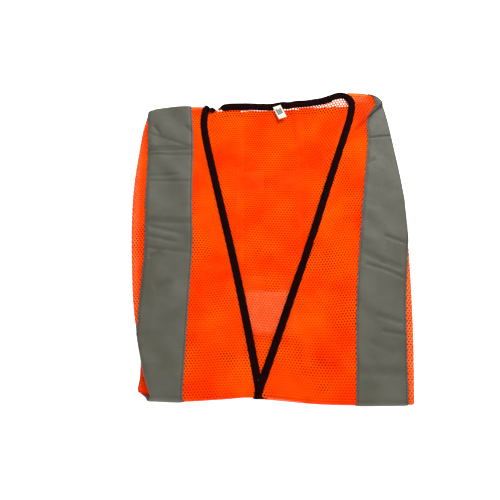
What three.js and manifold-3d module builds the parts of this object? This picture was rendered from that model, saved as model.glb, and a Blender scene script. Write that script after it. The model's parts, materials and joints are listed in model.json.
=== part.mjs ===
// A high visibility mesh vest, folded flat for storage and lying on its folded half.
//
// The vest lies face up: +Y points to the neck, +Z up, and left and right are those of someone
// looking down on its front. Both sides are folded under along a line through the tapes, and then
// the lower half is folded under the upper half, so every layer of cloth occurs twice, once above
// and once below the fold plane. Each half is one rigid stack of cloth here, and the halves meet
// at the bottom fold, which is the hinge that the vest unfolds on. Lengths are in millimetres.
import * as THREE from "three";
import { mergeVertices } from "three/addons/utils/BufferGeometryUtils.js";
import Module from "manifold-3d";

const wasm = await Module();
wasm.setup();

// Cloth, tape and trim.
const MESH = 0.5; // thickness of the mesh cloth
const TAPE = 0.35; // thickness of the reflective tape
const TAPE_WIDTH = 50;
const BINDING = 1.2; // thickness of the folded binding
const BINDING_WIDTH = 8;
const BINDING_LEG = 0.2; // one leg of the binding, above or below the cloth
const BINDING_SPINE = 0.8; // the binding's fold, beyond the cloth's edge
const HEM_TURN = 1; // width of the hem binding's spine where it turns to the next layer
const LABEL = 0.25;
const PATCH = 0.3; // hook patch and loop patch, pressed together
const STRAP = 0.6; // elastic side strap
const GAP = 0.2; // air between layers
const SLIT = 0.3; // air between pieces that meet edge to edge

// Heights of the layers, measured from the fold plane to the middle of each layer.
const FRONT_FLAP = GAP + BINDING / 2;
const BACK_FLAP = FRONT_FLAP + BINDING + GAP;
const BACK_TAPE = BACK_FLAP + MESH / 2 + GAP + TAPE / 2;
const BACK = BACK_TAPE + TAPE / 2 + GAP + MESH / 2;
const FRONT = BACK + BINDING + GAP;
const FRONT_TAPE = FRONT + MESH / 2 + GAP + TAPE / 2;
const OUTER_FRONT = FRONT + BINDING + GAP; // the lapping front of the lower half
const OUTER_TAPE = OUTER_FRONT + MESH / 2 + GAP + TAPE / 2;
const CARE_LABEL = BACK - MESH / 2 - GAP - LABEL / 2;
const SIZE_LABEL = BACK + BINDING / 2 + GAP + LABEL / 2;

const FOLD_Z = OUTER_TAPE + TAPE / 2; // height of the fold plane above the ground
const FOLD_Y = -175; // the bottom fold's edge, where the hinge is
const FOLD_END = FOLD_Y + 0.5; // the layers of both halves end just short of it
const HEM_Y = 147; // middle of the hem binding: the folded lower half ends under the shoulders
const HEM_CLOTH = HEM_Y + BINDING_WIDTH / 2 - BINDING_SPINE - SLIT; // the cloth's edge inside it
const HEM_END = HEM_Y - BINDING_WIDTH / 2 - SLIT; // tapes and edge bindings stop short of it
const ASKEW = 0.045; // the lower half is folded askew: its hem rises this much towards the right
const ASKEW_FROM_X = -134; // where the hem is at HEM_Y
const UP = 1; // the half above the fold plane
const DOWN = -1; // the half below it

// Edges in plan, as the points of smooth curves, from the neck towards the bottom fold.
const LEFT_SIDE = [[-135, 150], [-141, 116], [-146, 35], [-139, -70], [-126, -135], [-113, FOLD_END]];
const RIGHT_SIDE = [[130, 163], [136, 127], [145, 46], [146, -18], [143, -104], [138, FOLD_END]];
const LEFT_FLAP_EDGE = [[-67, 149], [-73, 90], [-66, 20], [-34, -60], [-30, -110], [-30, FOLD_END]];
const RIGHT_FLAP_EDGE = [
  [106, 165], [92, 148], [79, 110], [68, 20], [40, -60], [36, -110], [36, FOLD_END],
];
const LEFT_NECK = [[-70, 156], [-71, 127], [-58, 64], [-37, -29], [-24, -93], [-15, -146]];
const RIGHT_NECK = [
  [91, 170], [95, 155], [89, 127], [67, 64], [44, -7], [21, -73], [0, -134], [-14, -172.5],
];
const BACK_NECK = [[-60, 156], [-20, 159], [14, 160], [43, 162], [68, 167], [85, 173]];
const LEFT_SHOULDER = [[-135, 150], [-122, 154], [-100, 156.5], [-76, 157]];
const RIGHT_SHOULDER = [[97, 175], [112, 174], [124, 169.5], [130, 163]];
const LEFT_TAPE_EDGE = [[-86, 155], [-83, 114], [-82, 40], [-80, -10], [-82, -75], [-85, FOLD_END]];
const RIGHT_TAPE_EDGE = [[121, 168], [112, 140], [108, 89], [98, 16], [88, -73], [82, FOLD_END]];

// The lower half, folded under, seen through the upper half: from the bottom fold to the hem.
const LOWER_LEFT_SIDE = [
  [-113, FOLD_END], [-127, -155], [-130, -100], [-134, 0], [-136, 90], [-134, HEM_CLOTH],
];
const LOWER_RIGHT_SIDE = [[138, FOLD_END], [139, -100], [138, 0], [136, 90], [129, HEM_CLOTH]];
const LOWER_LEFT_TAPE_EDGE = [[-85, FOLD_END], [-80, -75], [-82, 40], [-84, HEM_END]];
const LOWER_RIGHT_TAPE_EDGE = [[82, FOLD_END], [84, -75], [86, 40], [86, HEM_END]];
const LAP_END_X = -22; // the left front's corner at the bottom fold, under the lap
const LOWER_LEFT_FLAP_X = -30;
const LOWER_RIGHT_FLAP_X = 36;
const RIGHT_EDGE_X = -16; // front edge of the right front, lapping over the left one
const LEFT_EDGE_X = 12; // front edge of the left front, under the lap
const STEP_X = -27; // here the left front steps in to go under the lap

const BACK_INSET = 1.6; // the back's side folds lie this far inside those of the fronts
const SEAM_WIDTH = 1.7; // of a shoulder seam, across the edges of the cloths it joins
const TAPE_INSET = 1.5; // a tape ends this far inside a side fold that it reaches
const CARE_LABEL_BOX = [-24, -107, 28, -63];
const SIZE_LABEL_SEAM = [10.7, 158]; // middle of the sewn edge
const SIZE_LABEL_SIZE = [9.3, 17.5];
const SIZE_LABEL_TILT = THREE.MathUtils.degToRad(22);
const PATCH_BOXES = [[-10, -20, 6, 40], [-10, 75, 6, 135]];
const STRAP_WIDTH = 25;
const STRAP_REACH = 22; // from the side binding to the strap's folded end
const STRAP_MIDDLES = [-60, 60];

const SEGMENTS = 14; // steps along a curved edge

function cloth(name, color, roughness) {
  return new THREE.MeshStandardMaterial({ name, color, roughness });
}

const orange = cloth("orange_mesh", 0xff4a06, 0.85);
const silver = cloth("reflective_tape", 0x6a6961, 0.5);
const black = cloth("black_binding", 0x120706, 0.8);
const orangeBinding = cloth("orange_binding", 0xf24608, 0.8);
const elastic = cloth("orange_elastic", 0xe84208, 0.75);
const white = cloth("white_label", 0xf7f4ea, 0.7);
const closure = cloth("hook_and_loop", 0x17130f, 0.95);

const vest = new THREE.Group();

// ---- Lines in plan ----

function curve(points, segments = SEGMENTS) {
  return new THREE.SplineCurve(points.map(([x, y]) => new THREE.Vector2(x, y))).getPoints(segments);
}

function straight(x0, y0, x1, y1) {
  return [new THREE.Vector2(x0, y0), new THREE.Vector2(x1, y1)];
}

// The line moved sideways by distance, to the left of its own direction.
function beside(line, distance) {
  return line.map((point, i) => {
    const ahead = line[Math.min(i + 1, line.length - 1)];
    const behind = line[Math.max(i - 1, 0)];
    const along = ahead.clone().sub(behind).normalize();
    return new THREE.Vector2(point.x - along.y * distance, point.y + along.x * distance);
  });
}

function reversed(line) {
  return [...line].reverse();
}

function rectangle([x0, y0, x1, y1]) {
  return [...straight(x0, y0, x1, y0), ...straight(x1, y1, x0, y1)];
}

// ---- Solids ----

// Closed prism over an outline, from height low to height high.
function prism(outline, low, high) {
  const depth = high - low;
  const shape = new THREE.Shape(outline);
  return new THREE.ExtrudeGeometry(shape, { depth, bevelEnabled: false }).translate(0, 0, low);
}

// Prism between the lines that lie at two distances beside a line.
function strip(line, from, to, low, high) {
  return prism([...beside(line, from), ...reversed(beside(line, to))], low, high);
}

function solid(geometry) {
  const bare = geometry.clone();
  bare.deleteAttribute("normal");
  bare.deleteAttribute("uv");
  const merged = mergeVertices(bare, 1e-4);
  const vertProperties = new Float32Array(merged.attributes.position.array);
  const triVerts = new Uint32Array(merged.index.array);
  return new wasm.Manifold(new wasm.Mesh({ numProp: 3, vertProperties, triVerts }));
}

function joined(geometries) {
  const whole = geometries.map(solid).reduce((sum, next) => sum.add(next));
  const { vertProperties, triVerts } = whole.getMesh();
  const geometry = new THREE.BufferGeometry();
  geometry.setAttribute("position", new THREE.BufferAttribute(vertProperties, 3));
  geometry.setIndex(new THREE.BufferAttribute(triVerts, 1));
  return geometry;
}

function add(name, geometry, material) {
  const mesh = new THREE.Mesh(geometry, material);
  mesh.name = name;
  vest.add(mesh);
}

// A piece of the lower half, pulled askew: not at all at the bottom fold, fully at the hem.
function addLower(name, geometry, material) {
  const points = geometry.attributes.position;
  for (let i = 0; i < points.count; i++) {
    const share = (points.getY(i) - FOLD_Y) / (HEM_Y - FOLD_Y);
    points.setY(i, points.getY(i) + ASKEW * (points.getX(i) - ASKEW_FROM_X) * share);
  }
  add(name, geometry, material);
}

// Lowest and highest Z of a layer whose middle is level above (or below) the fold plane.
function span(half, level, thickness) {
  const middle = FOLD_Z + half * level;
  return [middle - thickness / 2, middle + thickness / 2];
}

function layer(outline, half, level, thickness) {
  return prism(outline, ...span(half, level, thickness));
}

// Cloth that turns down (or up) from one layer to another along a side fold. The wall lies inward
// of the fold line: inward is 1 where that is to the left of the line's direction, else -1.
function turn(side, inward, half, fromLevel, toLevel) {
  const [a, b] = [span(half, fromLevel, MESH), span(half, toLevel, MESH)];
  return strip(side, 0, inward * MESH, Math.min(a[0], b[0]), Math.max(a[1], b[1]));
}

// Binding folded over a cloth edge: two legs and the spine that joins them on the open side, which
// is to the left of the line's direction where open is 1, else to the right.
function binding(line, open, half, level) {
  const edge = (open * BINDING_WIDTH) / 2;
  const [low, high] = span(half, level, BINDING);
  return joined([
    strip(line, -edge, edge, low, low + BINDING_LEG),
    strip(line, -edge, edge, high - BINDING_LEG, high),
    strip(line, edge - open * BINDING_SPINE, edge, low, high),
  ]);
}

// The cloth's edge inside a binding along this line.
function clothEdge(line, open) {
  return beside(line, open * (BINDING_WIDTH / 2 - BINDING_SPINE - SLIT));
}

// ---- The upper half ----

const leftSide = curve(LEFT_SIDE);
const rightSide = curve(RIGHT_SIDE);
const leftNeck = curve(LEFT_NECK);
const rightNeck = curve(RIGHT_NECK);
const backNeck = curve(BACK_NECK);
const leftShoulder = curve(LEFT_SHOULDER, 6);
const rightShoulder = curve(RIGHT_SHOULDER, 6);
const leftFlapEdge = curve(LEFT_FLAP_EDGE);
const rightFlapEdge = curve(RIGHT_FLAP_EDGE);

function leftFrontPanel() {
  const neck = clothEdge(leftNeck, 1);
  const lapEnd = new THREE.Vector2(LAP_END_X, FOLD_END);
  const main = [...leftShoulder.slice(1), ...neck, lapEnd, ...reversed(leftSide)];
  const flap = [...clothEdge(leftFlapEdge, 1), ...reversed(leftSide)];
  return joined([
    layer(main, UP, FRONT, MESH),
    turn(leftSide, 1, UP, FRONT, FRONT_FLAP),
    layer(flap, UP, FRONT_FLAP, MESH),
  ]);
}

function rightFrontPanel() {
  const neck = clothEdge(rightNeck, -1);
  const main = [...rightShoulder.slice(0, -1), ...rightSide, ...reversed(neck)];
  const flap = [...clothEdge(rightFlapEdge, -1), ...reversed(rightSide)];
  return joined([
    layer(main, UP, FRONT, MESH),
    turn(rightSide, -1, UP, FRONT, FRONT_FLAP),
    layer(flap, UP, FRONT_FLAP, MESH),
  ]);
}

function backPanel() {
  const left = beside(leftSide, BACK_INSET);
  const right = beside(rightSide, -BACK_INSET);
  const neck = clothEdge(backNeck, 1);
  const top = [...leftShoulder.slice(1), ...neck, ...rightShoulder.slice(0, -1)];
  const main = [...reversed(left), ...top, ...right];
  return joined([
    layer(main, UP, BACK, MESH),
    turn(left, 1, UP, BACK, BACK_FLAP),
    layer([...clothEdge(leftFlapEdge, 1), ...reversed(left)], UP, BACK_FLAP, MESH),
    turn(right, -1, UP, BACK, BACK_FLAP),
    layer([...clothEdge(rightFlapEdge, -1), ...reversed(right)], UP, BACK_FLAP, MESH),
  ]);
}

// Where a line that runs from the neck to the bottom fold, or back, is at height y in plan.
function xAt(line, y) {
  const after = line.findIndex((point, i) => i > 0 && (point.y - y) * (line[i - 1].y - y) <= 0);
  const nearest = Math.abs(y - line[0].y) < Math.abs(y - line.at(-1).y) ? line[0] : line.at(-1);
  if (after < 0) return nearest.x;
  const [a, b] = [line[after - 1], line[after]];
  return a.x + ((b.x - a.x) * (y - a.y)) / (b.y - a.y);
}

// Tape from its inner edge outwards, no wider than its width and ending inset from the side fold.
function tapeOutline(innerEdge, side, outward, inset) {
  const outer = innerEdge.map((point) => {
    const reach = Math.min(TAPE_WIDTH, Math.abs(xAt(side, point.y) - point.x) - inset);
    return new THREE.Vector2(point.x + outward * reach, point.y);
  });
  return [...innerEdge, ...reversed(outer)];
}

function shoulderSeam(line) {
  const [low] = span(UP, BACK, MESH);
  const [, high] = span(UP, FRONT, MESH);
  return strip(line, SLIT, SLIT + SEAM_WIDTH, low, high);
}

// ---- The lower half ----

const lowerLeftSide = curve(LOWER_LEFT_SIDE);
const lowerRightSide = curve(LOWER_RIGHT_SIDE);

// The side's part of a flap: from the side fold to the flap's edge, which ends inside its binding.
function lowerFlap(side, edgeX, open) {
  const [end] = clothEdge(straight(edgeX, FOLD_END, edgeX, HEM_CLOTH), -open);
  return [new THREE.Vector2(end.x, FOLD_END), ...side, new THREE.Vector2(end.x, HEM_CLOTH)];
}

// The left front lies at the outer level, and steps in to go under the lap.
function leftFrontSkirt() {
  const edge = clothEdge(straight(LEFT_EDGE_X, FOLD_END, LEFT_EDGE_X, HEM_CLOTH), -1)[0].x;
  const [low] = span(DOWN, OUTER_FRONT, MESH);
  const [, high] = span(DOWN, FRONT, MESH);
  const main = [...straight(STEP_X, FOLD_END, STEP_X, HEM_CLOTH), ...reversed(lowerLeftSide)];
  return joined([
    layer(main, DOWN, OUTER_FRONT, MESH),
    prism(rectangle([STEP_X - MESH, FOLD_END, STEP_X, HEM_CLOTH]), low, high),
    layer(rectangle([STEP_X - MESH, FOLD_END, edge, HEM_CLOTH]), DOWN, FRONT, MESH),
    turn(lowerLeftSide, -1, DOWN, OUTER_FRONT, FRONT_FLAP),
    layer(lowerFlap(lowerLeftSide, LOWER_LEFT_FLAP_X, 1), DOWN, FRONT_FLAP, MESH),
  ]);
}

function rightFrontSkirt() {
  const edge = clothEdge(straight(RIGHT_EDGE_X, FOLD_END, RIGHT_EDGE_X, HEM_CLOTH), 1)[0].x;
  const [foldEnd, hemEnd] = straight(edge, FOLD_END, edge, HEM_CLOTH);
  const main = [foldEnd, ...lowerRightSide, hemEnd];
  return joined([
    layer(main, DOWN, OUTER_FRONT, MESH),
    turn(lowerRightSide, 1, DOWN, OUTER_FRONT, FRONT_FLAP),
    layer(lowerFlap(lowerRightSide, LOWER_RIGHT_FLAP_X, -1), DOWN, FRONT_FLAP, MESH),
  ]);
}

function backSkirt() {
  const left = beside(lowerLeftSide, -BACK_INSET);
  const right = beside(lowerRightSide, BACK_INSET);
  return joined([
    layer([...left, ...reversed(right)], DOWN, BACK, MESH),
    turn(left, -1, DOWN, BACK, BACK_FLAP),
    layer(lowerFlap(left, LOWER_LEFT_FLAP_X, 1), DOWN, BACK_FLAP, MESH),
    turn(right, 1, DOWN, BACK, BACK_FLAP),
    layer(lowerFlap(right, LOWER_RIGHT_FLAP_X, -1), DOWN, BACK_FLAP, MESH),
  ]);
}

// Elastic loop from the front's side edge to the back's, folded flat beyond both edges.
function sideStrap(edgeX, outward, middle) {
  const start = edgeX + outward * (BINDING_WIDTH / 2 + SLIT);
  const end = start + outward * STRAP_REACH;
  const bendStart = end - outward * STRAP;
  const [y0, y1] = [middle - STRAP_WIDTH / 2, middle + STRAP_WIDTH / 2];
  const leg = rectangle([Math.min(start, end), y0, Math.max(start, end), y1]);
  const bend = rectangle([Math.min(bendStart, end), y0, Math.max(bendStart, end), y1]);
  const [low] = span(DOWN, BACK_FLAP, STRAP);
  const [, high] = span(DOWN, FRONT_FLAP, STRAP);
  return joined([
    layer(leg, DOWN, FRONT_FLAP, STRAP),
    layer(leg, DOWN, BACK_FLAP, STRAP),
    prism(bend, low, high),
  ]);
}

// Hem binding along one piece of cloth: a run [fromX, toX, level] for each of its layers, and at
// each fold [fromX, toX, level, level] the spine that carries on from one layer to the next.
function hemBinding(runs, folds) {
  const spineY = HEM_Y + BINDING_WIDTH / 2;
  const straightRuns = runs.map(([fromX, toX, level]) => {
    return binding(straight(fromX, HEM_Y, toX, HEM_Y), 1, DOWN, level);
  });
  const spines = folds.map(([fromX, toX, levelA, levelB]) => {
    const ends = [...span(DOWN, levelA, BINDING), ...span(DOWN, levelB, BINDING)];
    const spine = rectangle([fromX, spineY - BINDING_SPINE, toX, spineY]);
    return prism(spine, Math.min(...ends), Math.max(...ends));
  });
  return joined([...straightRuns, ...spines]);
}

// ---- Build: upper half ----

add("left_front_panel", leftFrontPanel(), orange);
add("right_front_panel", rightFrontPanel(), orange);
add("back_panel", backPanel(), orange);

// The tapes on one side's front and back, which share their inner edge.
function addTapes(frontName, backName, innerEdge, side, outward, half, frontLevel) {
  const front = tapeOutline(innerEdge, side, outward, TAPE_INSET);
  const back = tapeOutline(innerEdge, side, outward, TAPE_INSET + BACK_INSET);
  const addPiece = half === UP ? add : addLower;
  addPiece(frontName, layer(front, half, frontLevel, TAPE), silver);
  addPiece(backName, layer(back, half, BACK_TAPE, TAPE), silver);
}

const leftTapeEdge = curve(LEFT_TAPE_EDGE);
const rightTapeEdge = curve(RIGHT_TAPE_EDGE);
addTapes("left_front_tape", "left_back_tape", leftTapeEdge, leftSide, -1, UP, FRONT_TAPE);
addTapes("right_front_tape", "right_back_tape", rightTapeEdge, rightSide, 1, UP, FRONT_TAPE);

add("left_front_binding", binding(leftNeck, 1, UP, FRONT), black);
add("right_front_binding", binding(rightNeck, -1, UP, FRONT), black);
add("back_neck_binding", binding(backNeck, 1, UP, BACK), black);
add("left_front_armhole_binding", binding(leftFlapEdge, 1, UP, FRONT_FLAP), orangeBinding);
add("left_back_armhole_binding", binding(leftFlapEdge, 1, UP, BACK_FLAP), orangeBinding);
add("right_front_armhole_binding", binding(rightFlapEdge, -1, UP, FRONT_FLAP), orangeBinding);
add("right_back_armhole_binding", binding(rightFlapEdge, -1, UP, BACK_FLAP), orangeBinding);

add("left_shoulder_seam", shoulderSeam(leftShoulder), orange);
add("right_shoulder_seam", shoulderSeam(rightShoulder), orange);
add("care_label", layer(rectangle(CARE_LABEL_BOX), UP, CARE_LABEL, LABEL), white);

// ---- Build: size label, sewn at its upper edge under the back neck binding ----

const [labelWidth, labelLength] = SIZE_LABEL_SIZE;
const labelBox = [-labelWidth / 2, -labelLength, labelWidth / 2, 0];
const sizeLabel = layer(rectangle(labelBox), UP, SIZE_LABEL, LABEL);
sizeLabel.rotateZ(SIZE_LABEL_TILT).translate(...SIZE_LABEL_SEAM, 0);
add("size_label", sizeLabel, white);

// ---- Build: lower half ----

addLower("left_front_skirt", leftFrontSkirt(), orange);
addLower("right_front_skirt", rightFrontSkirt(), orange);
addLower("back_skirt", backSkirt(), orange);

const leftTape = curve(LOWER_LEFT_TAPE_EDGE);
const rightTape = curve(LOWER_RIGHT_TAPE_EDGE);
const [leftLine, rightLine] = [lowerLeftSide, lowerRightSide];
addTapes("left_front_lower_tape", "left_back_lower_tape", leftTape, leftLine, -1, DOWN, OUTER_TAPE);
addTapes("right_front_lower_tape", "right_back_lower_tape", rightTape, rightLine, 1, DOWN, OUTER_TAPE);

// A straight binding line at x, from the bottom fold to the hem binding.
function upFromFold(x) {
  return straight(x, FOLD_END, x, HEM_END);
}

addLower("left_edge_binding", binding(upFromFold(LEFT_EDGE_X), -1, DOWN, FRONT), black);
addLower("right_edge_binding", binding(upFromFold(RIGHT_EDGE_X), 1, DOWN, OUTER_FRONT), black);

const leftFlapLine = upFromFold(LOWER_LEFT_FLAP_X);
const rightFlapLine = upFromFold(LOWER_RIGHT_FLAP_X);
addLower("left_front_side_binding", binding(leftFlapLine, -1, DOWN, FRONT_FLAP), orangeBinding);
addLower("left_back_side_binding", binding(leftFlapLine, -1, DOWN, BACK_FLAP), orangeBinding);
addLower("right_front_side_binding", binding(rightFlapLine, 1, DOWN, FRONT_FLAP), orangeBinding);
addLower("right_back_side_binding", binding(rightFlapLine, 1, DOWN, BACK_FLAP), orangeBinding);

// The hem bindings, from the side folds inwards.
const clear = MESH + SLIT;
const leftX = lowerLeftSide.at(-1).x + clear;
const rightX = lowerRightSide.at(-1).x - clear;
const stepLeft = STEP_X - clear;
addLower("left_front_hem_binding", hemBinding(
  [
    [leftX, stepLeft, OUTER_FRONT],
    [STEP_X + SLIT, LEFT_EDGE_X, FRONT],
    [leftX, LOWER_LEFT_FLAP_X, FRONT_FLAP],
  ],
  [
    [stepLeft - HEM_TURN, STEP_X + clear, OUTER_FRONT, FRONT],
    [leftX, leftX + HEM_TURN, OUTER_FRONT, FRONT_FLAP],
  ],
), black);
addLower("right_front_hem_binding", hemBinding(
  [
    [RIGHT_EDGE_X, rightX, OUTER_FRONT],
    [LOWER_RIGHT_FLAP_X, rightX, FRONT_FLAP],
  ],
  [[rightX - HEM_TURN, rightX, OUTER_FRONT, FRONT_FLAP]],
), black);

const backLeft = leftX + BACK_INSET;
const backRight = rightX - BACK_INSET;
addLower("back_hem_binding", hemBinding(
  [
    [backLeft, backRight, BACK],
    [backLeft, LOWER_LEFT_FLAP_X, BACK_FLAP],
    [LOWER_RIGHT_FLAP_X, backRight, BACK_FLAP],
  ],
  [
    [backLeft, backLeft + HEM_TURN, BACK, BACK_FLAP],
    [backRight - HEM_TURN, backRight, BACK, BACK_FLAP],
  ],
), black);

for (const [i, middle] of STRAP_MIDDLES.entries()) {
  addLower(`left_side_strap_${i + 1}`, sideStrap(LOWER_LEFT_FLAP_X, 1, middle), elastic);
  addLower(`right_side_strap_${i + 1}`, sideStrap(LOWER_RIGHT_FLAP_X, -1, middle), elastic);
}
for (const [i, box] of PATCH_BOXES.entries()) {
  const hookLevel = FRONT + MESH / 2 + GAP / 2 + PATCH / 2;
  addLower(`hook_patch_${i + 1}`, layer(rectangle(box), DOWN, hookLevel, PATCH), closure);
  const loopLevel = hookLevel + PATCH + GAP / 2;
  addLower(`loop_patch_${i + 1}`, layer(rectangle(box), DOWN, loopLevel, PATCH), closure);
}

// The origin is on the ground, under the middle of the folded vest.
const box = new THREE.Box3().setFromObject(vest);
const middle = box.getCenter(new THREE.Vector3());
vest.position.set(-middle.x, -middle.y, -box.min.z);

export default vest;
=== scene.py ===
"""A high visibility mesh vest, folded flat: cloths, tapes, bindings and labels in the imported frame.

Every cloth is made flat, as points (x, v) in millimetres: x runs across the garment and v down it,
from the shoulders to the hem. place() then folds it: the sides go under, and the lower half goes
under the upper half, so that the layers nest as they do in the CAD model.
"""
import json
import math

import bpy
import numpy as np
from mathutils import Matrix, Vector


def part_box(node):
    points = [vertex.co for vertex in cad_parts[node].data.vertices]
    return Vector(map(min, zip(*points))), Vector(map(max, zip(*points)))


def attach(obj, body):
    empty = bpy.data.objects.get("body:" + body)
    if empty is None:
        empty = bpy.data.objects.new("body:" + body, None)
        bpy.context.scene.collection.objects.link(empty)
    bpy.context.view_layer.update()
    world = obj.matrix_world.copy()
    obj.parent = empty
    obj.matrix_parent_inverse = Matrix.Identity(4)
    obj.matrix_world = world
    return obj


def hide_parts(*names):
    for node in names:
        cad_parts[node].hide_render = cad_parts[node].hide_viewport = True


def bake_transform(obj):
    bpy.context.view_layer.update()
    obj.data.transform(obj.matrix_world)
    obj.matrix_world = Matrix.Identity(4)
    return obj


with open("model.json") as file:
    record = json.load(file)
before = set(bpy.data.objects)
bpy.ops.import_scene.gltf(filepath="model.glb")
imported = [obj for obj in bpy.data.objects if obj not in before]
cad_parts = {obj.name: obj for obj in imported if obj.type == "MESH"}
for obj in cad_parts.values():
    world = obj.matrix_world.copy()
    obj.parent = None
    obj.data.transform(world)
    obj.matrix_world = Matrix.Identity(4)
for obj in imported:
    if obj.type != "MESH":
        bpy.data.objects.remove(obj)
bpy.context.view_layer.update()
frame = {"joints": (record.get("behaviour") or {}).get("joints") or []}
MM = 0.001
JOINTS = {joint["name"]: joint for joint in frame["joints"]}
SEED = 41

# ---- driving sizes, in millimetres

FOLD_Z = JOINTS["bottom_fold"]["pos_m"][2] / MM  # the plane between the two halves
FOLD_Y = JOINTS["bottom_fold"]["pos_m"][1] / MM  # the bottom fold's edge
PLAN_Y = FOLD_Y + 175  # the plan curves below have the bottom fold at -175

PITCH = 3.05  # from hole to hole of the mesh
HOLE = 0.92  # radius of a hole
RELIEF = 0.35  # the rim of a hole lies this much lower than the strands
BACK_SKEW = 2.2  # degrees between the holes' rows of the back and of the fronts
BACK_STRETCH = 1.03  # the back's holes are this much further apart
TAPE_WIDTH = 50
TAPE = 0.35  # thickness
BINDING_WIDTH = 8
BINDING = 1.5  # thickness
FLAP_BINDING = 0.8  # thickness of the pressed bindings between the halves
STITCH = 3.2  # from stitch to stitch
THREAD = 0.6  # diameter

# Distance of each layer of cloth from the fold plane.
FRONT_FLAP, BACK_FLAP, BACK, FRONT, OUTER_FRONT = 0.8, 2.2, 3.45, 4.85, 6.25
LAP_RISE, LAP_DIP, BACK_DIP = 1.3, 0.5, 0.4  # where the right front crosses the left one
BACK_INSET = 1.6  # the back's side folds lie this far inside those of the fronts
BACK_SAG = 1.4  # the back's middle hangs this much lower than its edges, between the flaps below it

UPPER = 332.0  # length of cloth from the shoulder to the start of the bottom fold's round
ROUND = 14.0  # length of cloth round the bottom fold
LOWER = 318.0  # length of cloth from there to the hem
LENGTH = UPPER + ROUND + LOWER
HEM = 147  # plan height of the folded lower half's hem binding at the left side
ASKEW, ASKEW_FROM = 0.045, -134  # the hem rises this much towards the right, from there on

# Plan curves, as (x, y) points: the sides, edges and tapes run between the neck and the bottom
# fold, the others from left to right.
LEFT_SIDE = [(-135, 150), (-141, 116), (-146, 35), (-139, -70), (-126, -135), (-113, -175)]
RIGHT_SIDE = [(130, 163), (136, 127), (145, 46), (146, -18), (143, -104), (138, -175)]
LOWER_LEFT_SIDE = [(-134, 147), (-136, 90), (-134, 0), (-130, -100), (-127.5, -145), (-129, -161),
                   (-124, -166), (-113, -175)]
LOWER_RIGHT_SIDE = [(129, 147), (136, 90), (138, 0), (139, -100), (138, -175)]
LEFT_NECK = [(-70, 155), (-71, 127), (-58, 64), (-37, -29), (-24, -93), (-15, -141), (-9, -175)]
RIGHT_NECK = [(92, 172), (95.7, 160), (93.3, 144.5), (88, 127), (67, 64), (44, -7), (21, -73), (0, -134),
              (-15, -175)]
BACK_NECK = [(-57, 154.8), (-46, 157.3), (-37, 158), (-6, 157.6), (6, 158.2), (17, 160.2), (24, 159.6),
             (33, 161.5), (43, 162.2), (54, 164.2), (64, 166.2), (73, 169.6)]
LEFT_EDGE = [(12, 147), (12, -110), (3, -150), (-9, -175)]
RIGHT_EDGE = [(-16, 147), (-15, -175)]
LEFT_TAPE = [(-86, 155), (-83, 114), (-82, 40), (-80, -10), (-82, -75), (-85, -175)]
RIGHT_TAPE = [(115, 173.5), (121, 168.5), (121.5, 158), (115, 147), (111.5, 138), (111, 116), (108, 89),
              (98, 16), (88, -73), (82, -175)]
LOWER_LEFT_TAPE = [(-84, 147), (-82, 40), (-79, -75), (-79.5, -150), (-85, -175)]
LOWER_RIGHT_TAPE = [(86, 147), (86, 40), (84, -75), (82, -175)]
LEFT_FLAP = [(-67, 149), (-73, 90), (-66, 20), (-34, -60), (-30, -110), (-30, -175)]
RIGHT_FLAP = [(106, 165), (92, 148), (79, 110), (68, 20), (40, -60), (36, -110), (36, -175)]
LOWER_LEFT_FLAP = [(-30, 147), (-30, -175)]
LOWER_RIGHT_FLAP = [(36, 147), (36, -175)]
TOP_LINE = [(-135, 150), (-122, 154), (-100, 156.5), (-76, 157), (-68, 156.5), (-61, 153.5), (-54, 156.5),
            (-37, 159), (-6, 158.6), (17, 161), (43, 163), (62, 167), (73, 171.5), (84, 174.8), (97, 175.5),
            (112, 174), (124, 169.5), (130, 163)]
BOTTOM_LINE = [(-113, -173), (-85, -174), (-48, -172), (-20, -170.5), (9, -173), (47, -176.5),
               (90, -177.5), (137, -177)]

# Creases of the upper half in plan, as (from, to, height, width).
CREASES = [
    ((24, 149), (33, 90), -1.2, 3), ((30, 150), (40, 90), 2.4, 3.5), ((34, 95), (33, -30), -1.2, 3),
    ((41, 95), (40, -30), 2.0, 3.5), ((-52, 96), (-28, 128), 1.3, 5), ((118, 152), (84, 106), -1.6, 2.6),
    ((2, 157), (20, 162), -0.7, 8),
]
TAPE_CREASE = 2  # the tapes' creases are this many times as deep as their heights below say
LEFT_TAPE_CREASES = [
    ((-131, 101), (-84, 104), -0.95, 2.4), ((-131, 95), (-84, 95), -0.7, 1.4),
    ((-131, 69), (-100, 70.5), -0.7, 1.7), ((-131, 63), (-88, 62), -0.6, 1.5),
    ((-127, 131), (-120, 121), -0.4, 2), ((-130, 121), (-90, 107), -0.35, 2.5),
    ((-92, 131), (-84, 124), -0.5, 1.8), ((-126, 15), (-82, 14), -0.75, 3),
    ((-124, 8), (-96, 1), -0.5, 2), ((-125, -3), (-97, -9), -0.6, 2),
    ((-121, -17), (-84, -21), -0.4, 2), ((-123, -26), (-114, -21), -0.5, 1.6),
    ((-116, -58), (-100, -53), -0.35, 4),
]
RIGHT_TAPE_CREASES = [
    ((111, 116), (136, 118), -0.6, 1.2), ((110, 83), (118, 89), -0.4, 2),
    ((93, -18), (118, -31), -0.45, 3), ((118, -31), (136, -39), -0.5, 3),
    ((103, -35), (124, -42), -0.55, 1.6), ((124, -42), (138, -50), -0.7, 1.6),
    ((124, -3), (142, -11), -0.5, 1.8), ((110, -89), (132, -97), -0.5, 3),
    ((114, -105), (134, -109), -0.6, 2), ((102, -117), (124, -127), -0.4, 4),
    ((86, -147), (130, -146), -0.35, 5),
]
PLEAT = ((133, 162), (101, 131))  # the fold across the right shoulder
PLEAT_RISE = 2.6

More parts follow.
